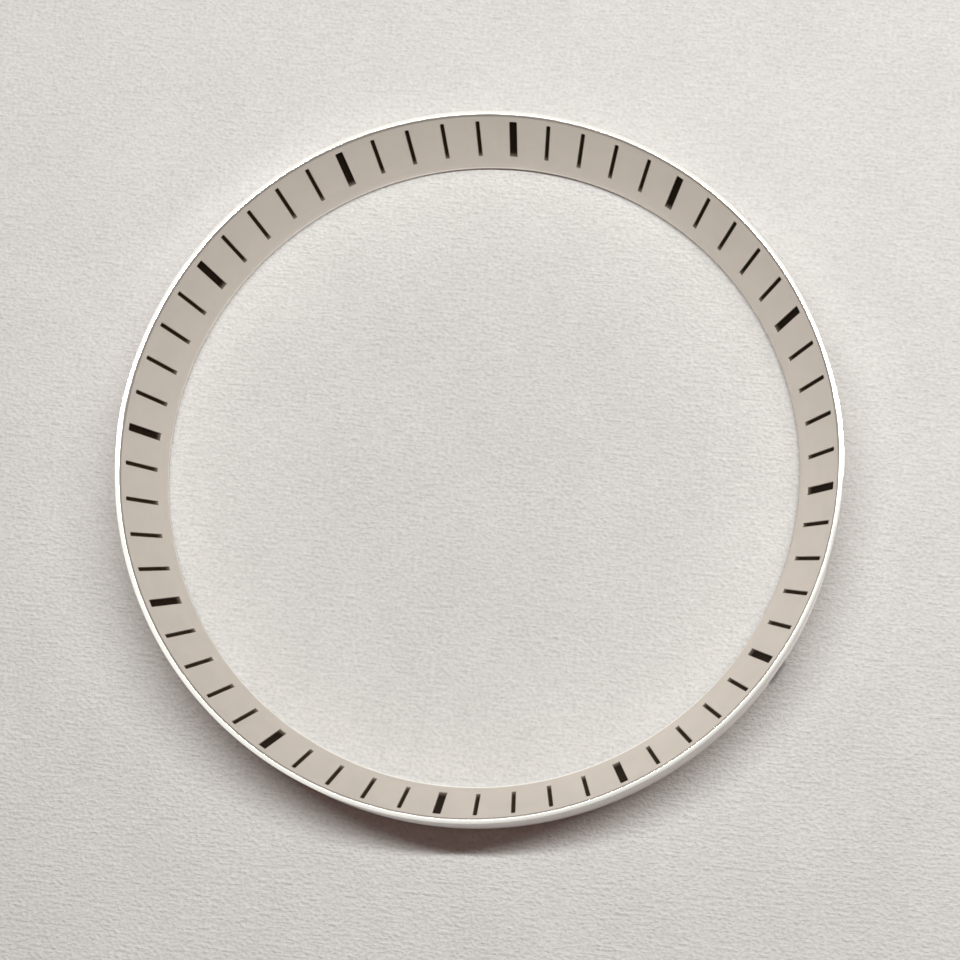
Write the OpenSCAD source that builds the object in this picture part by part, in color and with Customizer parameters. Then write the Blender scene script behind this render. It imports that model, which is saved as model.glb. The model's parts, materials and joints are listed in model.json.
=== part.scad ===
// Watch chapter ring: a turned ring whose inward-sloping cone carries a minute track.
// Every mark of the track is a pocket cut square to the cone, with a layer of lacquer in it.
// Origin on the ring's axis at its base, +Z up, twelve o'clock towards +Y.

/* [Ring] */
// Outside diameter
ring_d = 31.5; // [28:0.1:36]
// Width of the base, from the outer wall to the opening over the dial
base_w = 1.75; // [1.4:0.05:2.4]
// Height from the base to the top land
ring_h = 2.8; // [2.5:0.05:3.4]
// Height of the straight wall at the foot of the cone
bore_land_h = 0.25; // [0.1:0.05:0.5]
// Width of the flat land on top
land_w = 0.18; // [0.1:0.02:0.4]
// Chamfer on the outer top edge
top_break = 0.03; // [0.01:0.01:0.06]
// Chamfer on the two edges of the base
base_break = 0.05; // [0.02:0.01:0.1]

/* [Minute track] */
// Distance down the cone from the land to the marks
mark_gap = 0.42; // [0.3:0.02:0.6]
// Length of each mark down the cone
mark_l = 1.94; // [1.3:0.02:2.2]
// Width of the twelve hour marks
hour_mark_w = 0.32; // [0.22:0.02:0.5]
// Width of the minute marks between them
minute_mark_w = 0.16; // [0.1:0.02:0.24]
// Corner radius of each mark
mark_corner_r = 0.03; // [0.01:0.01:0.04]
// Depth of each pocket below the cone
pocket_depth = 0.2; // [0.16:0.02:0.26]
// Depth of the lacquer's surface below the cone
lacquer_recess = 0.12; // [0.04:0.01:0.15]

/* [Locating notch] */
// Hour mark that the notch lies under
notch_hour = 4; // [1:1:12]
// Width of the notch across the outer wall
notch_w = 1.3; // [0.8:0.1:2]
// Height of the notch above the base
notch_h = 0.6; // [0.3:0.05:0.9]
// Depth of the notch from the outer wall
notch_depth = 0.9; // [0.5:0.05:1.1]
// Radius of the notch's two inner corners
notch_corner_r = 0.3; // [0.1:0.05:0.35]

/* [Hidden] */
hours = 12;
steps_per_hour = 5;
step_angle = 360 / (hours * steps_per_hour);
twelve_angle = 90;

ring_r = ring_d / 2;
bore_r = ring_r - base_w;
land_r = ring_r - land_w;
cone_angle = atan2(ring_h - bore_land_h, land_r - bore_r);
lacquer_t = pocket_depth - lacquer_recess;

// How far a cutting solid runs past the face that it opens
overcut = 0.2;
turned_fn = 240;
corner_fn = 24;

function two_digits(n) = n < 10 ? str("0", n) : str(n);
// Names of the hours in the order of the dial: 12, 01, 02 and so on
function hour_name(hour) = two_digits(hour == 0 ? hours : hour);

HOUR_NODES = [for (hour = [0 : hours - 1]) str("hour_mark_", hour_name(hour))];
MINUTE_NODES = [
    for (hour = [0 : hours - 1])
        str("minute_marks_", hour_name(hour), "_to_", hour_name((hour + 1) % hours))
];

// Half of the ring's section, turned round the axis
module ring_section() {
    polygon([
        [bore_r + base_break, 0],
        [ring_r - base_break, 0],
        [ring_r, base_break],
        [ring_r, ring_h - top_break],
        [ring_r - top_break, ring_h],
        [land_r, ring_h],
        [bore_r, bore_land_h],
        [bore_r, base_break]
    ]);
}

// Outline of a mark, centred, with its length along X
module mark_outline(w) {
    inner_l = mark_l - 2 * mark_corner_r;
    inner_w = w - 2 * mark_corner_r;
    square([mark_l, inner_w], center = true);
    square([inner_l, w], center = true);
    for (x = [-inner_l / 2, inner_l / 2], y = [-inner_w / 2, inner_w / 2])
        translate([x, y])
            circle(r = mark_corner_r, $fn = corner_fn);
}

// Puts its children on the cone at one step of the track: X up the slope, Z out of the cone
module on_cone(step) {
    rotate([0, 0, twelve_angle - step * step_angle])
        translate([land_r, 0, ring_h])
            rotate([0, -cone_angle, 0])
                translate([-mark_gap - mark_l / 2, 0, 0])
                    children();
}

// Cuts the pocket of one mark, from its floor to clear of the cone
module mark_pocket(w) {
    translate([0, 0, -pocket_depth])
        linear_extrude(pocket_depth + overcut)
            mark_outline(w);
}

// Lacquer of one mark, seated on the pocket's floor and against its walls
module mark_lacquer(w) {
    translate([0, 0, -pocket_depth])
        linear_extrude(lacquer_t)
            mark_outline(w);
}

// Outline of the notch from above, open towards +X, with its inner end at the origin
module notch_outline() {
    inner_w = notch_w - 2 * notch_corner_r;
    translate([0, -inner_w / 2])
        square([notch_depth + overcut, inner_w]);
    translate([notch_corner_r, -notch_w / 2])
        square([notch_depth + overcut - notch_corner_r, notch_w]);
    for (y = [-inner_w / 2, inner_w / 2])
        translate([notch_corner_r, y])
            circle(r = notch_corner_r, $fn = corner_fn);
}

// Cuts the locating notch, which is open to the outer wall and to the base
module notch_cut() {
    rotate([0, 0, twelve_angle - notch_hour * steps_per_hour * step_angle])
        translate([ring_r - notch_depth, 0, -overcut])
            linear_extrude(notch_h + overcut)
                notch_outline();
}

// Steps of the minute marks that follow an hour
function minutes_after(hour) =
    [for (minute = [1 : steps_per_hour - 1]) hour * steps_per_hour + minute];

module chapter_ring() {
    color([0.74, 0.71, 0.66])
        difference() {
            rotate_extrude($fn = turned_fn)
                ring_section();
            for (hour = [0 : hours - 1]) {
                on_cone(hour * steps_per_hour)
                    mark_pocket(hour_mark_w);
                for (step = minutes_after(hour))
                    on_cone(step)
                        mark_pocket(minute_mark_w);
            }
            notch_cut();
        }
}

module hour_mark(hour) {
    color([0.12, 0.09, 0.07])
        on_cone(hour * steps_per_hour)
            mark_lacquer(hour_mark_w);
}

module minute_marks(hour) {
    color([0.12, 0.09, 0.07])
        for (step = minutes_after(hour))
            on_cone(step)
                mark_lacquer(minute_mark_w);
}

chapter_ring();
for (hour = [0 : hours - 1]) {
    hour_mark(hour);
    minute_marks(hour);
}
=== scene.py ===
"""Looks of the watch chapter ring: its turned metal, the lacquer in its minute track, light and camera.

Lengths are written in millimetres and turned into metres when an object is made.
"""

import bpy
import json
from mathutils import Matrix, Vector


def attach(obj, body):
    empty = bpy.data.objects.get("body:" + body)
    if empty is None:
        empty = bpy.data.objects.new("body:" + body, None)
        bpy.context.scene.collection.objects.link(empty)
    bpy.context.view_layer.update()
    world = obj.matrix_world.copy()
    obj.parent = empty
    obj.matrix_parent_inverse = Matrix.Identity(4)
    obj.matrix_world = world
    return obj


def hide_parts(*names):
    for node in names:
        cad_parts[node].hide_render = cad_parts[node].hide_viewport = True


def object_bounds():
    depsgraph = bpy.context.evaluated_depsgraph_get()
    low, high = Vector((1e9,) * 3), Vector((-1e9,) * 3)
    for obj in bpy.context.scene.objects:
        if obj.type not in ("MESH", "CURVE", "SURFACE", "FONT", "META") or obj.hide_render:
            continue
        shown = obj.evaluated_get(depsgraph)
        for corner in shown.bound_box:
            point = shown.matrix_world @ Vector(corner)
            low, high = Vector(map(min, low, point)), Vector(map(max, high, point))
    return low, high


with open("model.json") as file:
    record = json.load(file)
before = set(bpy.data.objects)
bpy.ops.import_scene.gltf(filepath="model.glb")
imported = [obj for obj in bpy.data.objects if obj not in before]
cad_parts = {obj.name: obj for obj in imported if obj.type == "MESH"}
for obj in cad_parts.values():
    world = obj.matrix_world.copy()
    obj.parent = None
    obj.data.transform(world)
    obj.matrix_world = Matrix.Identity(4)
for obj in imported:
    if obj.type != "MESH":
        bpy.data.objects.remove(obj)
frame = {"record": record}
cad_box = [list(corner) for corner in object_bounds()]

import json
import math

import bmesh
import bpy
from mathutils import Matrix, Vector

MM = 0.001

# Sizes of the ring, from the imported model's mounts and box
MOUNTS = {mount["name"]: mount for mount in frame["record"]["mounts"]}
RING_R = MOUNTS["outer_wall"]["dims"]["r_mm"]
BORE_R = MOUNTS["dial_opening"]["dims"]["r_mm"]
RING_H = cad_box[1][2] / MM

# Sizes of the ring's section and its minute track, as in the part's source
LAND_W = 0.18
BORE_LAND_H = 0.25
BASE_BREAK = 0.05
MARK_GAP = 0.42
MARK_L = 1.94
HOUR_MARK_W = 0.32
MINUTE_MARK_W = 0.16
MARK_CORNER_R = 0.03
POCKET_DEPTH = 0.2
LACQUER_RECESS = 0.12
NOTCH_HOUR = 4
NOTCH_W = 1.3
NOTCH_H = 0.6
NOTCH_DEPTH = 0.9
NOTCH_CORNER_R = 0.3

HOURS = 12
STEPS_PER_HOUR = 5
STEPS = HOURS * STEPS_PER_HOUR
STEP_ANGLE = 2 * math.pi / STEPS
TWELVE_ANGLE = math.pi / 2

LAND_R = RING_R - LAND_W
CONE_L = math.hypot(LAND_R - BORE_R, RING_H - BORE_LAND_H)
CONE_COS = (LAND_R - BORE_R) / CONE_L
CONE_SIN = (RING_H - BORE_LAND_H) / CONE_L

# Small rounding of the pockets' rims, of the land's two edges, which show almost sharp, and of the
# chamfers on the base
RIM_ROUND = 0.02
LAND_ROUND = 0.012
EDGE_ROUND = 0.01
# The narrow bright ledge where the cone meets the opening: its width at six o'clock, how far to either
# side of there it runs out, how steeply it slopes, and the rounding of its edge as a share of its width
LEDGE_W = 0.055
LEDGE_REACH = math.radians(72)
LEDGE_SLOPE = math.radians(18)
LEDGE_ROUND = 0.25
# How far the block that cuts the notch reaches past the outer wall and the base
CUTTER_OVER = 0.2

# How finely the mesh is cut: segments of a mark's corner, side and end, of a pocket's rim, of a rounded
# edge and of the notch's corner, rings of faces round a mark and on its lacquer, rows of the outer wall
CORNER_SEGMENTS = 6
SIDE_SEGMENTS = 18
END_SEGMENTS = 4
RIM_SEGMENTS = 3
EDGE_SEGMENTS = 3
NOTCH_SEGMENTS = 8
RINGS_ROUND_MARK = 5
LACQUER_RINGS = 9
WALL_ROWS = 4
# Powers that crowd the rings of faces towards the pocket's edge, and how far towards the middle of a
# mark the innermost ring of its lacquer lies, as a share of the way
CONE_CROWDING = 1.5
LACQUER_CROWDING = 1.4
LACQUER_INNERMOST = 0.97
# Points that agree when rounded to this many steps for each millimetre become one
JOIN_STEPS = 1e5
# Edges that turn by more than these degrees are shaded sharp, and large faces set the shading of their
# edges by this weight
RING_SHARP, LACQUER_SHARP = 35, 50
LARGE_FACE_WEIGHT = 100

# Material slots of the ring's mesh, in the order of its materials
CONE, LAND, WALL, BASE, BORE, POCKET = range(6)

# Shape of the lacquer's surface: how high it climbs at a wall, how far from the wall it starts, how far
# below the cone it stays, and the gap that it keeps to the metal
SIDE_CLIMB, SIDE_REACH = 0.03, 0.03
LOW_CLIMB, LOW_REACH = 0.16, 0.09
RIM_MARGIN = 0.012
LACQUER_GAP = 0.0005
# Painted light near each mark's low end, for the lit low end wall and the sheen of the pooled lacquer:
# how far from the low end it reaches, how fast it fades, and how much further it reaches in the corners
LOW_LIGHT_REACH = 0.18
LOW_LIGHT_POWER = 1.3
LOW_LIGHT_CORNER, LOW_LIGHT_CORNER_REACH = 0.05, 0.05

# The camera, high above the six o'clock side: its place, its turn in degrees, its lens and how near and
# how far it sees
CAMERA_AT = (11.991, -21.380, 98.732)
CAMERA_TURN = (13.911, 4.209, 5.843)
FOCAL_LENGTH, SENSOR_W = 86.25, 36
CLIP_NEAR, CLIP_FAR = 5, 10000
# The photograph is cut off-centre from its frame by this share of its width
CAMERA_SHIFT = -0.06

# The strip lamp: its length lies across the picture, its foot point is up the picture from the ring, and
# it is turned and leant by some degrees
LAMP_L, LAMP_W = 236, 8
LAMP_SIDE, LAMP_BACK, LAMP_H = 6, 40, 140
LAMP_TURN, LAMP_LEAN = 3.2, 13
LAMP_POWER = 0.286
LAMP_COLOR = (0.99, 1.0, 0.99)

# The surround: its weak even light, the backdrop that the camera sees, and what metal mirrors of it,
# which is brightest at a place to one side of the lamp and gets dim between two cosines of the angle
AMBIENT_LEVEL = 0.13
AMBIENT_COLOR = (1.0, 0.64, 0.55)
BACKDROP_COLOR = (0.90, 0.895, 0.88)
DIM_LEVEL, BRIGHT_LEVEL = 0.25, 1.0
DIM_COSINE, BRIGHT_COSINE = 0.5, 0.88
SURROUND_SHIFT = (-88, 54, 0)

# The floor of paper, which lies this far below the ring's base
FLOOR_HALF = 2000
FLOOR_DROP = 0.002
# The paper's two tones, and how rough and how shiny it is
PAPER_DARK, PAPER_LIGHT = (0.545, 0.54, 0.525), (0.735, 0.727, 0.71)
PAPER_ROUGHNESS, PAPER_SHINE = 0.9, 0.2
# Its grain and its streaks, in waves for each millimetre along X, Y and Z, the share of either in its
# fibres, and the height of the fibres
PAPER_GRAIN, GRAIN_SHARE = (5.6, 7.2, 6.5), 0.65
PAPER_STREAKS, STREAK_SHARE = (1.1, 8.0, 6.5), 0.35
FIBRE_HEIGHT = 0.055
# Its broad mottling: waves for each millimetre, and how much lighter or darker it gets
MOTTLE_WAVES, MOTTLE_SPREAD = 0.25, 0.025
# Painted light and shade on it: how much lighter it gets for each millimetre along X and Y, and how much
# lighter it is round the ring than in its middle, between two distances
PAINTED_DRIFT = (0.001, 0.0004, 0.0)
PAINTED_RISE, RISE_START, RISE_END = 0.065, 4, 18
# Painted light on the paper beside the wall, for the light that the wall throws there: how much, between
# which distances from the wall, towards which side, clockwise from twelve o'clock, and how fast it falls
# off beside there
PAINTED_WALL_GLOW, GLOW_START, GLOW_END = 0.19, 0.7, 3.2
GLOW_SIDE, GLOW_POWER = math.radians(292), 3
# Painted shade on the paper in the notch and in front of it: how much darker, how far out, and how wide
# its soft ends are
PAINTED_NOTCH_SHADE, NOTCH_SHADE_OUT, NOTCH_SHADE_EDGE = 0.45, 0.18, 0.2
# Between the first two distances from the ring, the paper takes an even tone of its own, and up to the
# third it fades to the backdrop
FAR_START, FAR_EVEN, FAR_END = 30, 80, 900
FAR_COLOR = (0.655, 0.645, 0.625)

# Nearly all values of a noise lie between these two
NOISE_LOW, NOISE_HIGH = 0.3, 0.7

# Tones of the turned metal, with light and dark tool lines
CONE_LIGHT, CONE_DARK = (0.785, 0.719, 0.656), (0.733, 0.685, 0.627)
LAND_LIGHT, LAND_DARK = (0.95, 0.925, 0.865), (0.93, 0.9, 0.84)
WALL_LIGHT, WALL_DARK = (0.9, 0.84, 0.81), (0.86, 0.8, 0.77)
BORE_LIGHT, BORE_DARK = (0.93, 0.9, 0.86), (0.9, 0.87, 0.83)
# The pockets' rims and walls are a much darker metal than the rest
POCKET_LIGHT, POCKET_DARK = (0.42, 0.38, 0.33), (0.34, 0.30, 0.26)
# Its blotches, tool lines and grain, in waves for each millimetre, how far the first two change its
# roughness, and how strongly the grain stands out
BLOTCH_WAVES, BLOTCH_SHEEN = 1.3, 0.015
LINE_WAVES, LINE_SHEEN = 26.0, 0.03
GRAIN_WAVES, GRAIN_STRENGTH = 40.0, 0.5
# A quarter turn: a turned surface scatters light across its tool lines
ACROSS_LINES = 0.25
# A dark line painted along the edge where the cone meets the land, as painted shade on that edge: its
# colour, how far inside the land its middle lies, how wide it is and how much of its colour shows
EDGE_SHADE_COLOR = (0.12, 0.11, 0.09)
EDGE_SHADE_IN, EDGE_SHADE_W, EDGE_SHADE_SHARE = 0.045, 0.11, 0.55

# Tones of the lacquer: the wide hour marks are filled thicker and look darker than the minute marks
HOUR_DARK, HOUR_LIGHT = (0.011, 0.0055, 0.003), (0.019, 0.0115, 0.006)
MINUTE_DARK, MINUTE_LIGHT = (0.023, 0.0135, 0.0055), (0.037, 0.0245, 0.011)
# The colour painted at each mark's low end, as painted light for the lit end wall and the lacquer's
# sheen
LOW_END_LIGHT_COLOR = (0.15, 0.122, 0.098)
# Its clouds and its slight orange-peel skin, in waves for each millimetre, its roughness and its shine
CLOUD_WAVES = 5.0
SKIN_WAVES, SKIN_HEIGHT = 14.0, 0.004
LACQUER_SMOOTHEST, LACQUER_ROUGHEST = 0.4, 0.55
LACQUER_SHINE = 0.04


def step_angle(step):
    """Direction of a mark from +X, in radians, for marks counted clockwise from twelve o'clock."""
    return TWELVE_ANGLE - step * STEP_ANGLE


def hour_name(hour):
    """An hour of the dial in two digits."""
    return f"{hour % HOURS or HOURS:02d}"


def on_cone(slope, angle):
    """Point of the cone at a distance down its slope and a direction round the axis."""
    radius = LAND_R - slope * CONE_COS
    return (radius * math.cos(angle), radius * math.sin(angle), RING_H - slope * CONE_SIN)


def mark_point(angle, x, y, height):
    """Point given in a mark's own frame: x up the slope, y round the ring, height out of the cone."""
    slope = MARK_GAP + MARK_L / 2 - x
    radius = LAND_R - slope * CONE_COS - height * CONE_SIN
    z = RING_H - slope * CONE_SIN + height * CONE_COS
    cosine, sine = math.cos(angle), math.sin(angle)
    return (radius * cosine - y * sine, radius * sine + y * cosine, z)


def cone_rise(x, y):
    """How far the curved cone stands above the flat plane that touches it along a mark's middle."""
    radius = LAND_R - (MARK_GAP + MARK_L / 2 - x) * CONE_COS
    return y * y * CONE_SIN / (2 * radius)


def slope_and_angle(point, near):
    """Distance down the cone's slope and direction round the axis of a point close to a direction."""
    x, y, z = point
    cosine, sine = math.cos(near), math.sin(near)
    aside, out = y * cosine - x * sine, x * cosine + y * sine
    return ((RING_H - z) / CONE_SIN, near + math.atan2(aside, out))


def points_between(start, end, segments):
    """Points on a straight run between two others, closer together near both ends."""
    shares = [(1 - math.cos(math.pi * i / segments)) / 2 for i in range(1, segments)]
    return [(start[0] + (end[0] - start[0]) * t, start[1] + (end[1] - start[1]) * t) for t in shares]


def mark_outline(width, outset=0.0):
    """Rounded outline of a mark, widened by outset, from the middle of its upper corner at +y."""
    round_r = MARK_CORNER_R + outset
    half_x = MARK_L / 2 - MARK_CORNER_R
    half_y = width / 2 - MARK_CORNER_R
    corners = [(half_x, half_y), (-half_x, half_y), (-half_x, -half_y), (half_x, -half_y)]
    arcs = []
    for k, (x, y) in enumerate(corners):
        turns = [math.pi * (0.5 * k + 0.5 * i / CORNER_SEGMENTS) for i in range(CORNER_SEGMENTS + 1)]
        arcs.append([(x + round_r * math.cos(turn), y + round_r * math.sin(turn)) for turn in turns])
    half = CORNER_SEGMENTS // 2
    outline = []
    for k, arc in enumerate(arcs):
        next_arc = arcs[(k + 1) % len(arcs)]
        segments = SIDE_SEGMENTS if k % 2 == 0 else END_SEGMENTS
        outline += arc[half:] + points_between(arc[-1], next_arc[0], segments) + next_arc[:half]
    return outline


def ledge_width(angle):
    """Width of the ledge at the cone's foot, which is widest at six o'clock."""
    least = math.cos(LEDGE_REACH)
    return LEDGE_W * max(0.0, (-math.cos(angle - TWELVE_ANGLE) - least) / (1 - least))


def cone_end(angle):
    """Distance down the cone's slope at which it ends on the ledge."""
    return CONE_L - ledge_width(angle) / CONE_COS


def sector_border(angle):
    """Border of one step's stretch of the cone, with the same count and order as a mark's outline."""
    along = CORNER_SEGMENTS + SIDE_SEGMENTS
    across = CORNER_SEGMENTS + END_SEGMENTS
    left, right = angle + STEP_ANGLE / 2, angle - STEP_ANGLE / 2

    def side(i, edge):
        return (LAND_ROUND + (cone_end(edge) - LAND_ROUND) * i / along, edge)

    foot_angles = [left + (right - left) * i / across for i in range(across)]
    border = [side(i, left) for i in range(along)]
    border += [(cone_end(foot_angle), foot_angle) for foot_angle in foot_angles]
    border += [side(along - i, right) for i in range(along)]
    border += [(LAND_ROUND, right + (left - right) * i / across) for i in range(across)]
    return border


class MeshParts:
    """Collects points and faces in millimetres, and joins points that lie in the same place."""

    def __init__(self):
        self.points = []
        self.faces = []
        self.slots = []
        self.index = {}

    def point(self, place):
        """Index of the point at a place, which is added if it is new."""
        key = tuple(round(value * JOIN_STEPS) for value in place)
        if key not in self.index:
            self.index[key] = len(self.points)
            self.points.append(place)
        return self.index[key]

    def face(self, corners, slot):
        """A face, unless so many of its corners have become one that nothing is left."""
        kept = []
        for corner in corners:
            if corner not in kept:
                kept.append(corner)
        if len(kept) > 2:
            self.faces.append(kept)
            self.slots.append(slot)

    def band(self, first, second, slot):
        """Faces between two closed rows of points of the same length."""
        near = [self.point(place) for place in first]
        far = [self.point(place) for place in second]
        for i in range(len(near)):
            j = (i + 1) % len(near)
            self.face([near[i], near[j], far[j], far[i]], slot)

    def lid(self, row, slot):
        """One face over a closed row of points."""
        self.face([self.point(place) for place in row], slot)

    def mesh(self, name):
        data = bpy.data.meshes.new(name)
        data.from_pydata(self.points, [], self.faces)
        data.polygons.foreach_set("material_index", self.slots)
        data.update()
        return data


def add_pocket(parts, step, width):
    """One mark's pocket and the stretch of cone around it."""
    angle = step_angle(step)
    rim = [
        slope_and_angle(mark_point(angle, x, y, cone_rise(x, y)), angle)
        for x, y in mark_outline(width, RIM_ROUND)
    ]
    border = sector_border(angle)
    rows = []
    for j in range(RINGS_ROUND_MARK + 1):
        t = (j / RINGS_ROUND_MARK) ** CONE_CROWDING
        row = []
        for (slope, turn), (end_slope, end_turn) in zip(rim, border):
            row.append(on_cone(slope + (end_slope - slope) * t, turn + (end_turn - turn) * t))
        rows.append(row)
    for outer, inner in zip(rows[1:], rows[:-1]):
        parts.band(outer, inner, CONE)

    # The rounded rim follows the curved cone, and the floor is flat
    previous = rows[0]
    for i in range(1, RIM_SEGMENTS + 1):
        turn = math.pi / 2 * (i / RIM_SEGMENTS)
        outset, depth = RIM_ROUND * (1 - math.sin(turn)), RIM_ROUND * (1 - math.cos(turn))
        row = [mark_point(angle, x, y, cone_rise(x, y) - depth) for x, y in mark_outline(width, outset)]
        parts.band(previous, row, POCKET)
        previous = row
    floor = [mark_point(angle, x, y, -POCKET_DEPTH) for x, y in mark_outline(width)]
    parts.band(previous, floor, POCKET)
    parts.lid(floor, POCKET)


def corner_arc(before, corner, after, cut):
    """Rounds a corner of the section between two straight runs, as a curve through both cut points."""
    before, corner, after = Vector(before), Vector(corner), Vector(after)
    start = corner + (before - corner).normalized() * cut
    end = corner + (after - corner).normalized() * cut
    shares = [i / EDGE_SEGMENTS for i in range(EDGE_SEGMENTS + 1)]
    return [tuple(start * (1 - t) ** 2 + corner * 2 * t * (1 - t) + end * t**2) for t in shares]


def section_rows(ledge_w):
    """The ring's section, from the cone's top over the land, the wall and the base to the ledge."""
    cone_top, cone_foot = (LAND_R, RING_H), (BORE_R, BORE_LAND_H)
    wall_top, wall_foot = (RING_R, RING_H), (RING_R, BASE_BREAK)
    base_out = (RING_R - BASE_BREAK, 0.0)
    base_in = (BORE_R + BASE_BREAK, 0.0)
    bore_foot = (BORE_R, BASE_BREAK)
    ledge_out = (BORE_R + ledge_w, BORE_LAND_H + ledge_w * CONE_SIN / CONE_COS)
    ledge_in = (BORE_R, ledge_out[1] - ledge_w * math.tan(LEDGE_SLOPE))
    rows = [(p, LAND) for p in corner_arc(cone_foot, cone_top, wall_top, LAND_ROUND)]
    rows += [(p, LAND) for p in corner_arc(cone_top, wall_top, wall_foot, LAND_ROUND)]
    for i in range(1, WALL_ROWS):
        z = wall_top[1] + (wall_foot[1] - wall_top[1]) * i / WALL_ROWS
        rows.append(((RING_R, z), WALL))
    rows += [(p, WALL) for p in corner_arc(wall_top, wall_foot, base_out, EDGE_ROUND)]
    rows += [(p, WALL) for p in corner_arc(wall_foot, base_out, base_in, EDGE_ROUND)]
    rows += [(p, BASE) for p in corner_arc(base_out, base_in, bore_foot, EDGE_ROUND)]
    rows += [(p, BORE) for p in corner_arc(base_in, bore_foot, cone_foot, EDGE_ROUND)]
    rows += [(p, BORE) for p in corner_arc(bore_foot, ledge_in, ledge_out, ledge_w * LEDGE_ROUND)]
    rows.append((ledge_out, LAND))
    return rows


def add_turned_faces(parts):
    """All of the ring but its cone, turned round the axis in the columns that the cone's border has."""
    across = CORNER_SEGMENTS + END_SEGMENTS
    columns = [
        step_angle(step) + STEP_ANGLE / 2 - STEP_ANGLE * i / across
        for step in range(STEPS)
        for i in range(across)
    ]
    sections = [section_rows(ledge_width(angle)) for angle in columns]
    previous = None
    for row in zip(*sections):
        turned = [
            (radius * math.cos(angle), radius * math.sin(angle), z)
            for angle, ((radius, z), _) in zip(columns, row)
        ]
        if previous:
            parts.band(turned, previous, row[0][1])
        previous = turned


def notch_cutter():
    """A block with rounded inner corners that reaches past the outer wall and the base."""
    half = NOTCH_W / 2
    inner = RING_R - NOTCH_DEPTH
    outer = RING_R + CUTTER_OVER
    turns = [math.pi / 2 * i / NOTCH_SEGMENTS for i in range(NOTCH_SEGMENTS + 1)]
    arc = [
        (
            inner + NOTCH_CORNER_R - NOTCH_CORNER_R * math.sin(turn),
            half - NOTCH_CORNER_R + NOTCH_CORNER_R * math.cos(turn),
        )
        for turn in turns
    ]
    outline = [(outer, -half), (outer, half)] + arc + [(x, -y) for x, y in arc[::-1]]
    to_notch = Matrix.Rotation(step_angle(NOTCH_HOUR * STEPS_PER_HOUR), 3, "Z")
    parts = MeshParts()
    low = [tuple(to_notch @ Vector((x, y, -CUTTER_OVER))) for x, y in outline]
    high = [tuple(to_notch @ Vector((x, y, NOTCH_H))) for x, y in outline]
    parts.band(low, high, WALL)
    parts.lid(low[::-1], WALL)
    parts.lid(high, WALL)
    return parts.mesh("notch_cutter")


def link(name, data):
    """A new object in the scene."""
    piece = bpy.data.objects.new(name, data)
    bpy.context.scene.collection.objects.link(piece)
    return piece


def turn_outwards(data):
    """Turns the faces of a closed mesh outwards."""
    shell = bmesh.new()
    shell.from_mesh(data)
    bmesh.ops.recalc_face_normals(shell, faces=shell.faces)
    shell.to_mesh(data)
    shell.free()


def finished_mesh(piece, name):
    """The piece's mesh with its modifiers applied."""
    graph = bpy.context.evaluated_depsgraph_get()
    done = bpy.data.meshes.new_from_object(piece.evaluated_get(graph), depsgraph=graph)
    done.name = name
    return done


def smooth_by_area(piece, sharp_degrees):
    """Smooth shading in which large faces keep their own direction and small roundings blend."""
    piece.data.shade_smooth()
    piece.data.set_sharp_from_angle(angle=math.radians(sharp_degrees))
    weighted = piece.modifiers.new("weighted", "WEIGHTED_NORMAL")
    weighted.keep_sharp = True
    weighted.weight = LARGE_FACE_WEIGHT


def make_ring(materials):
    """The turned body with its 60 pockets, from which the notch is cut."""
    parts = MeshParts()
    for step in range(STEPS):
        add_pocket(parts, step, HOUR_MARK_W if step % STEPS_PER_HOUR == 0 else MINUTE_MARK_W)
    add_turned_faces(parts)
    blank = link("ring_blank", parts.mesh("ring_blank"))
    cutter = link("notch_cutter", notch_cutter())
    for piece in (blank, cutter):
        turn_outwards(piece.data)
        for material in materials:
            piece.data.materials.append(material)
    cut = blank.modifiers.new("notch", "BOOLEAN")
    cut.operation = "DIFFERENCE"
    cut.solver = "EXACT"
    cut.object = cutter
    data = finished_mesh(blank, "ring_body")
    for piece in (blank, cutter):
        bpy.data.objects.remove(piece)
    data.transform(Matrix.Scale(MM, 4))
    ring = link("ring_body", data)
    smooth_by_area(ring, RING_SHARP)
    return ring


def lacquer_height(width, x, y):
    """Height of the lacquer's surface in a mark: it climbs at the walls and pools at the low end."""
    to_side = width / 2 - abs(y)
    to_low = MARK_L / 2 + x
    to_top = MARK_L / 2 - x
    climb = SIDE_CLIMB * (math.exp(-to_side / SIDE_REACH) + math.exp(-to_top / SIDE_REACH))
    climb += LOW_CLIMB * math.exp(-to_low / LOW_REACH)
    most = LACQUER_RECESS - RIM_MARGIN
    return most * math.tanh(climb / most) - LACQUER_RECESS


def painted_low_light_share(width, x, y):
    """How much painted light lightens the lacquer near the mark's low end, from 0 to 1."""
    to_side = max(0.0, width / 2 - abs(y))
    to_low = MARK_L / 2 + x - LOW_LIGHT_CORNER * math.exp(-to_side / LOW_LIGHT_CORNER_REACH)
    return max(0.0, min(1.0, 1 - to_low / LOW_LIGHT_REACH)) ** LOW_LIGHT_POWER


def add_lacquer(parts, step, width, thinness):
    """The lacquer of one mark, closed all round, against the pocket's floor and walls."""
    angle = step_angle(step)
    outline = mark_outline(width, -LACQUER_GAP)
    ridge = (MARK_L - width) / 2
    foot = [mark_point(angle, x, y, LACQUER_GAP - POCKET_DEPTH) for x, y in outline]
    parts.lid(foot, 0)
    thinness.update({parts.point(p): 0.0 for p in foot})
    previous = foot
    for j in range(LACQUER_RINGS + 1):
        share = LACQUER_INNERMOST * (j / LACQUER_RINGS) ** LACQUER_CROWDING
        row = []
        for x, y in outline:
            ridge_x = max(-ridge, min(ridge, x))
            inner_x, inner_y = x + (ridge_x - x) * share, y * (1 - share)
            row.append(mark_point(angle, inner_x, inner_y, lacquer_height(width, inner_x, inner_y)))
            thinness[parts.point(row[-1])] = painted_low_light_share(width, inner_x, inner_y)
        parts.band(previous, row, 0)
        previous = row
    parts.lid(previous, 0)


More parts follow.
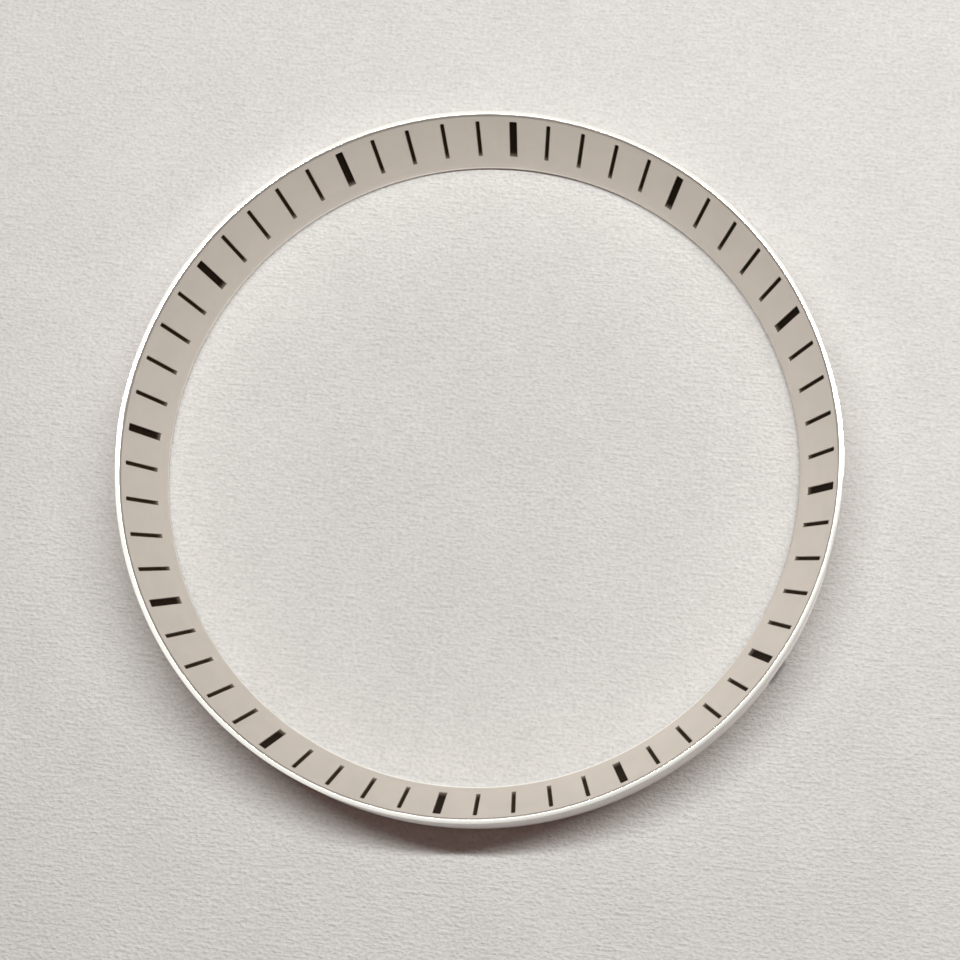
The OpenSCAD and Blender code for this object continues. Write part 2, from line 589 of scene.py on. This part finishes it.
def make_lacquer(name, steps, width, material):
    """The lacquer of one or more marks, whose painted light at each point is kept for its material."""
    parts = MeshParts()
    thinness = {}
    for step in steps:
        add_lacquer(parts, step, width, thinness)
    data = parts.mesh(name)
    values = data.attributes.new("thinness", "FLOAT", "POINT").data
    for index, value in thinness.items():
        values[index].value = value
    turn_outwards(data)
    data.transform(Matrix.Scale(MM, 4))
    data.materials.append(material)
    piece = link(name, data)
    smooth_by_area(piece, LACQUER_SHARP)
    return piece


def new_material(name):
    """An empty node material, its tree and its shader."""
    material = bpy.data.materials.new(name)
    material.use_nodes = True
    tree = material.node_tree
    return material, tree, tree.nodes["Principled BSDF"]


def add_node(tree, kind, **values):
    """A new node with these settings."""
    node = tree.nodes.new(kind)
    for key, value in values.items():
        setattr(node, key, value)
    return node


def feed(tree, socket, value):
    """Gives a socket another socket's value, or a plain value."""
    if isinstance(value, bpy.types.NodeSocket):
        tree.links.new(value, socket)
    else:
        socket.default_value = value


def calculated(tree, operation, *values):
    """A math node that works on sockets or numbers."""
    node = add_node(tree, "ShaderNodeMath", operation=operation)
    for socket, value in zip(node.inputs, values):
        feed(tree, socket, value)
    return node.outputs["Value"]


def total(tree, first, *others):
    """The sum of sockets or numbers."""
    for other in others:
        first = calculated(tree, "ADD", first, other)
    return first


def product(tree, first, *others):
    """The product of sockets or numbers."""
    for other in others:
        first = calculated(tree, "MULTIPLY", first, other)
    return first


def along_direction(tree, place, direction):
    """How far a point lies along a direction."""
    node = add_node(tree, "ShaderNodeVectorMath", operation="DOT_PRODUCT")
    node.inputs[1].default_value = direction
    tree.links.new(place, node.inputs[0])
    return node.outputs["Value"]


def scaled(tree, vector, factor):
    """A vector or a colour, times one factor."""
    node = add_node(tree, "ShaderNodeVectorMath", operation="SCALE")
    tree.links.new(vector, node.inputs[0])
    feed(tree, node.inputs["Scale"], factor)
    return node.outputs["Vector"]


def stretched(tree, vector, factors):
    """A vector with a factor of its own for each direction."""
    node = add_node(tree, "ShaderNodeVectorMath", operation="MULTIPLY")
    tree.links.new(vector, node.inputs[0])
    node.inputs[1].default_value = factors
    return node.outputs["Vector"]


def millimetre_coordinates(tree):
    """A point's place in millimetres, its distance from the ring's axis and its height."""
    coordinates = add_node(tree, "ShaderNodeTexCoord")
    place = scaled(tree, coordinates.outputs["Object"], 1 / MM)
    radius = add_node(tree, "ShaderNodeVectorMath", operation="LENGTH")
    tree.links.new(stretched(tree, place, (1, 1, 0)), radius.inputs[0])
    split = add_node(tree, "ShaderNodeSeparateXYZ")
    tree.links.new(place, split.inputs[0])
    return place, radius.outputs["Value"], split.outputs["Z"]


def noise(tree, place, waves, detail, lines=False):
    """Cloudy noise at a place, or noise along one number that shows as lines."""
    node = add_node(tree, "ShaderNodeTexNoise", noise_dimensions="1D" if lines else "3D")
    node.inputs["Scale"].default_value = waves
    node.inputs["Detail"].default_value = detail
    tree.links.new(place, node.inputs["W" if lines else "Vector"])
    return node.outputs["Fac"]


def map_range(tree, source, start, end, low, high, interpolation="LINEAR"):
    """Turns a value between start and end into one between low and high."""
    node = add_node(tree, "ShaderNodeMapRange", interpolation_type=interpolation)
    for name, value in (("From Min", start), ("From Max", end), ("To Min", low), ("To Max", high)):
        node.inputs[name].default_value = value
    tree.links.new(source, node.inputs["Value"])
    return node.outputs["Result"]


def spread(tree, noise_value, low, high):
    """Spreads a noise's value between low and high."""
    return map_range(tree, noise_value, NOISE_LOW, NOISE_HIGH, low, high)


def smooth_step(tree, source, start, end, most=1.0):
    """Rises softly from 0 at start to the most at end."""
    return map_range(tree, source, start, end, 0.0, most, "SMOOTHSTEP")


def mixed_color(tree, factor, under, over):
    """A colour between two others, each of which is a socket or three numbers."""
    mix = add_node(tree, "ShaderNodeMix", data_type="RGBA")
    tree.links.new(factor, mix.inputs["Factor"])
    for name, color in (("A", under), ("B", over)):
        feed(tree, mix.inputs[name], (*color, 1) if isinstance(color, tuple) else color)
    return mix.outputs["Result"]


def add_bump(tree, shader, height, distance_mm, strength=1.0, under=None):
    """Gives a shader a bumpy skin, on top of another one if there is one."""
    bump = add_node(tree, "ShaderNodeBump")
    bump.inputs["Strength"].default_value = strength
    bump.inputs["Distance"].default_value = distance_mm * MM
    tree.links.new(height, bump.inputs["Height"])
    if under:
        tree.links.new(under, bump.inputs["Normal"])
    tree.links.new(bump.outputs["Normal"], shader.inputs["Normal"])
    return bump.outputs["Normal"]


def with_painted_edge_shade(tree, color, radius):
    """A colour with the painted shade line along the edge where the cone meets the land in it."""
    off_line = calculated(tree, "ABSOLUTE", calculated(tree, "SUBTRACT", radius, LAND_R - EDGE_SHADE_IN))
    share = smooth_step(tree, off_line, EDGE_SHADE_W / 2, 0.0, EDGE_SHADE_SHARE)
    return mixed_color(tree, share, color, EDGE_SHADE_COLOR)


def turned_metal(name, light, dark, rough, line_depth, anisotropy, lines_along="radius", edge_shade=False):
    """Turned metal: fine rings left by the tool, blotches of slightly different sheen, small pits."""
    material, tree, shader = new_material(name)
    place, radius, height = millimetre_coordinates(tree)
    shader.inputs["Metallic"].default_value = 1.0
    shader.inputs["Anisotropic"].default_value = anisotropy
    shader.inputs["Anisotropic Rotation"].default_value = ACROSS_LINES
    blotches = noise(tree, place, BLOTCH_WAVES, detail=4.0)
    across_lines = radius if lines_along == "radius" else height
    lines = noise(tree, across_lines, LINE_WAVES, detail=3.0, lines=True)
    grain = noise(tree, place, GRAIN_WAVES, detail=2.0)
    # Blotches and tool lines each make half of the tone
    tone = total(tree, spread(tree, blotches, 0.0, 0.5), spread(tree, lines, 0.0, 0.5))
    color = mixed_color(tree, tone, dark, light)
    # The cone gets a painted shade line along its edge at the land
    if edge_shade:
        color = with_painted_edge_shade(tree, color, radius)
    tree.links.new(color, shader.inputs["Base Color"])
    broad_sheen = spread(tree, blotches, rough - BLOTCH_SHEEN, rough + BLOTCH_SHEEN)
    fine_sheen = spread(tree, lines, -LINE_SHEEN, LINE_SHEEN)
    tree.links.new(total(tree, broad_sheen, fine_sheen), shader.inputs["Roughness"])
    tangent = add_node(tree, "ShaderNodeTangent", direction_type="RADIAL", axis="Z")
    tree.links.new(tangent.outputs["Tangent"], shader.inputs["Tangent"])
    tool_lines = add_bump(tree, shader, lines, line_depth)
    add_bump(tree, shader, grain, line_depth, GRAIN_STRENGTH, under=tool_lines)
    return material


def ring_materials():
    """The materials of the ring, in the order of its mesh's slots."""
    cone = dict(rough=0.5, line_depth=0.0012, anisotropy=0.3, edge_shade=True)
    land = dict(rough=0.07, line_depth=0.0003, anisotropy=0.2)
    wall = dict(rough=0.55, line_depth=0.0010, anisotropy=0.8, lines_along="height")
    base = dict(rough=0.35, line_depth=0.0015, anisotropy=0.3)
    bore = dict(rough=0.35, line_depth=0.0006, anisotropy=0.2, lines_along="height")
    pocket = dict(rough=0.5, line_depth=0.0010, anisotropy=0.0, lines_along="height")
    return [
        turned_metal("cone_satin", CONE_LIGHT, CONE_DARK, **cone),
        turned_metal("land_bright", LAND_LIGHT, LAND_DARK, **land),
        turned_metal("wall_turned", WALL_LIGHT, WALL_DARK, **wall),
        turned_metal("base_turned", CONE_LIGHT, CONE_DARK, **base),
        turned_metal("bore_turned", BORE_LIGHT, BORE_DARK, **bore),
        turned_metal("pocket_cut", POCKET_LIGHT, POCKET_DARK, **pocket),
    ]


def lacquer_material(name, dark, light):
    """Brown-black lacquer with a slight orange-peel skin, and painted light at its low end."""
    material, tree, shader = new_material(name)
    place, _, _ = millimetre_coordinates(tree)
    clouds = noise(tree, place, CLOUD_WAVES, detail=3.0)
    skin = noise(tree, place, SKIN_WAVES, detail=2.0)
    deep = mixed_color(tree, spread(tree, clouds, 0.0, 1.0), dark, light)
    # Painted light: the colour is lightened near each mark's low end, for its lit end wall and sheen
    low_light = add_node(tree, "ShaderNodeAttribute", attribute_name="thinness")
    color = mixed_color(tree, low_light.outputs["Fac"], deep, LOW_END_LIGHT_COLOR)
    tree.links.new(color, shader.inputs["Base Color"])
    roughness = spread(tree, clouds, LACQUER_SMOOTHEST, LACQUER_ROUGHEST)
    tree.links.new(roughness, shader.inputs["Roughness"])
    shader.inputs["Specular IOR Level"].default_value = LACQUER_SHINE
    add_bump(tree, shader, skin, SKIN_HEIGHT)
    return material


def seen_rays(tree):
    """A factor that is 1 for what the camera sees, and one for what it sees mirrored in metal."""
    rays = add_node(tree, "ShaderNodeLightPath").outputs
    # The depth is a whole number of bounces, so less than a half is none
    unscattered = calculated(tree, "LESS_THAN", rays["Diffuse Depth"], 0.5)
    return rays["Is Camera Ray"], product(tree, rays["Is Glossy Ray"], unscattered)


def painted_thrown_light(tree, place, radius):
    """How much lighter the paper is painted beside the wall, on the side where the wall throws light on
    it.
    """
    towards = along_direction(tree, place, (math.sin(GLOW_SIDE), math.cos(GLOW_SIDE), 0.0))
    cosine = calculated(tree, "MAXIMUM", calculated(tree, "DIVIDE", towards, radius), 0.0)
    fall_off = calculated(tree, "POWER", cosine, GLOW_POWER)
    outside = calculated(tree, "GREATER_THAN", radius, RING_R)
    near_wall = smooth_step(tree, radius, RING_R + GLOW_END, RING_R + GLOW_START, PAINTED_WALL_GLOW)
    return product(tree, fall_off, outside, near_wall)


def painted_notch_shade(tree, place):
    """Painted shade on the paper in the notch and just in front of it, where no wall throws light."""
    angle = step_angle(NOTCH_HOUR * STEPS_PER_HOUR)
    cosine, sine = math.cos(angle), math.sin(angle)
    out = along_direction(tree, place, (cosine, sine, 0.0))
    aside = calculated(tree, "ABSOLUTE", along_direction(tree, place, (-sine, cosine, 0.0)))
    ahead = smooth_step(tree, out, RING_R + NOTCH_SHADE_OUT, RING_R, PAINTED_NOTCH_SHADE)
    within = calculated(tree, "GREATER_THAN", out, RING_R - NOTCH_DEPTH)
    between = smooth_step(tree, aside, NOTCH_W / 2, NOTCH_W / 2 - NOTCH_SHADE_EDGE)
    return product(tree, ahead, within, between)


def paper_material():
    """Pale paper with fine fibres, which camera and metal see in one even tone far from the ring."""
    material, tree, shader = new_material("floor_paper")
    place, radius, _ = millimetre_coordinates(tree)
    grain = noise(tree, stretched(tree, place, PAPER_GRAIN), waves=1.0, detail=4.0)
    streaks = noise(tree, stretched(tree, place, PAPER_STREAKS), waves=1.0, detail=3.0)
    mottle = noise(tree, place, MOTTLE_WAVES, detail=3.0)
    fibres = total(
        tree,
        spread(tree, grain, 0.0, GRAIN_SHARE),
        spread(tree, streaks, 0.0, STREAK_SHARE),
    )
    color = mixed_color(tree, fibres, PAPER_DARK, PAPER_LIGHT)
    # Random mottle, with painted light: the drift along X and Y, the rise round the ring and the wall's
    # glow
    mottle_and_painted_light = total(
        tree,
        1.0,
        along_direction(tree, place, PAINTED_DRIFT),
        spread(tree, mottle, -MOTTLE_SPREAD, MOTTLE_SPREAD),
        smooth_step(tree, radius, RISE_START, RISE_END, PAINTED_RISE),
        painted_thrown_light(tree, place, radius),
    )
    # Painted shade in the notch and in front of it
    unshaded = calculated(tree, "SUBTRACT", 1.0, painted_notch_shade(tree, place))
    shaded = scaled(tree, color, product(tree, mottle_and_painted_light, unshaded))
    tree.links.new(shaded, shader.inputs["Base Color"])
    shader.inputs["Roughness"].default_value = PAPER_ROUGHNESS
    shader.inputs["Specular IOR Level"].default_value = PAPER_SHINE
    add_bump(tree, shader, fibres, FIBRE_HEIGHT)

    seen = calculated(tree, "MAXIMUM", *seen_rays(tree))
    far = smooth_step(tree, radius, FAR_START, FAR_EVEN)
    fade = smooth_step(tree, radius, FAR_EVEN, FAR_END)
    even = add_node(tree, "ShaderNodeEmission")
    tree.links.new(mixed_color(tree, fade, FAR_COLOR, BACKDROP_COLOR), even.inputs["Color"])
    mix = add_node(tree, "ShaderNodeMixShader")
    tree.links.new(product(tree, seen, far), mix.inputs["Fac"])
    tree.links.new(shader.outputs["BSDF"], mix.inputs[1])
    tree.links.new(even.outputs["Emission"], mix.inputs[2])
    tree.links.new(mix.outputs["Shader"], tree.nodes["Material Output"].inputs["Surface"])
    return material


def make_floor():
    """A wide sheet of paper under the ring."""
    half = FLOOR_HALF * MM
    corners = [(-half, -half, 0), (half, -half, 0), (half, half, 0), (-half, half, 0)]
    data = bpy.data.meshes.new("floor")
    data.from_pydata(corners, [], [(0, 1, 2, 3)])
    data.materials.append(paper_material())
    floor = link("floor", data)
    floor.location.z = -FLOOR_DROP * MM


def make_camera():
    """The view of the photograph."""
    data = bpy.data.cameras.new("camera")
    data.lens = FOCAL_LENGTH
    data.sensor_width = SENSOR_W
    data.shift_x = CAMERA_SHIFT
    data.shift_y = CAMERA_SHIFT
    data.clip_start = CLIP_NEAR * MM
    data.clip_end = CLIP_FAR * MM
    camera = link("camera", data)
    camera.location = [c * MM for c in CAMERA_AT]
    camera.rotation_euler = [math.radians(a) for a in CAMERA_TURN]
    bpy.context.scene.camera = camera


def make_lamp():
    """A long strip lamp across the line from the ring to its foot point, turned to face the ring."""
    data = bpy.data.lights.new("strip_lamp", "AREA")
    data.shape = "RECTANGLE"
    data.size, data.size_y = LAMP_L * MM, LAMP_W * MM
    data.energy = LAMP_POWER
    data.color = LAMP_COLOR
    lamp = link("strip_lamp", data)
    turn = Matrix.Rotation(math.radians(LAMP_TURN), 4, "Z")
    place = Matrix.Translation(Vector((LAMP_SIDE, LAMP_BACK, LAMP_H)) * MM)
    tilt = Matrix.Rotation(-math.atan2(LAMP_BACK, LAMP_H), 4, "X")
    lean = Matrix.Rotation(math.radians(LAMP_LEAN), 4, "Y")
    lamp.matrix_world = turn @ place @ tilt @ lean
    return lamp


def make_world(lamp):
    """A pale surround for the camera and for reflections, and a weak even light for all else."""
    world = bpy.data.worlds.new("world")
    world.use_nodes = True
    bpy.context.scene.world = world
    tree = world.node_tree
    background = tree.nodes["Background"]
    camera_ray, mirrored_ray = seen_rays(tree)

    # Metal and lacquer show a surround that grows brighter towards a place beside the lamp
    place = add_node(tree, "ShaderNodeTexCoord").outputs["Generated"]
    brightest = lamp.matrix_world.translation + Vector(SURROUND_SHIFT) * MM
    towards_lamp = along_direction(tree, place, brightest.normalized())
    mirrored = map_range(tree, towards_lamp, DIM_COSINE, BRIGHT_COSINE, DIM_LEVEL, BRIGHT_LEVEL)
    gloss = product(tree, mirrored_ray, calculated(tree, "SUBTRACT", mirrored, AMBIENT_LEVEL))
    backdrop = product(tree, camera_ray, 1 - AMBIENT_LEVEL)
    tree.links.new(total(tree, gloss, backdrop, AMBIENT_LEVEL), background.inputs["Strength"])
    color = mixed_color(tree, mirrored_ray, AMBIENT_COLOR, LAMP_COLOR)
    tree.links.new(mixed_color(tree, camera_ray, color, BACKDROP_COLOR), background.inputs["Color"])


def dress(piece, node):
    """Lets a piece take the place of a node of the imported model."""
    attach(piece, "root")
    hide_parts(node)


make_camera()
bpy.context.scene.view_settings.view_transform = "Standard"
dress(make_ring(ring_materials()), "chapter_ring")

hour_lacquer = lacquer_material("hour_lacquer", HOUR_DARK, HOUR_LIGHT)
minute_lacquer = lacquer_material("minute_lacquer", MINUTE_DARK, MINUTE_LIGHT)
for hour in range(HOURS):
    first = hour * STEPS_PER_HOUR
    here, after = hour_name(hour), hour_name(hour + 1)
    mark = make_lacquer(f"hour_lacquer_{here}", [first], HOUR_MARK_W, hour_lacquer)
    dress(mark, f"hour_mark_{here}")
    minutes = range(first + 1, first + STEPS_PER_HOUR)
    mark = make_lacquer(f"minute_lacquer_{here}_to_{after}", minutes, MINUTE_MARK_W, minute_lacquer)
    dress(mark, f"minute_marks_{here}_to_{after}")

make_floor()
make_world(make_lamp())
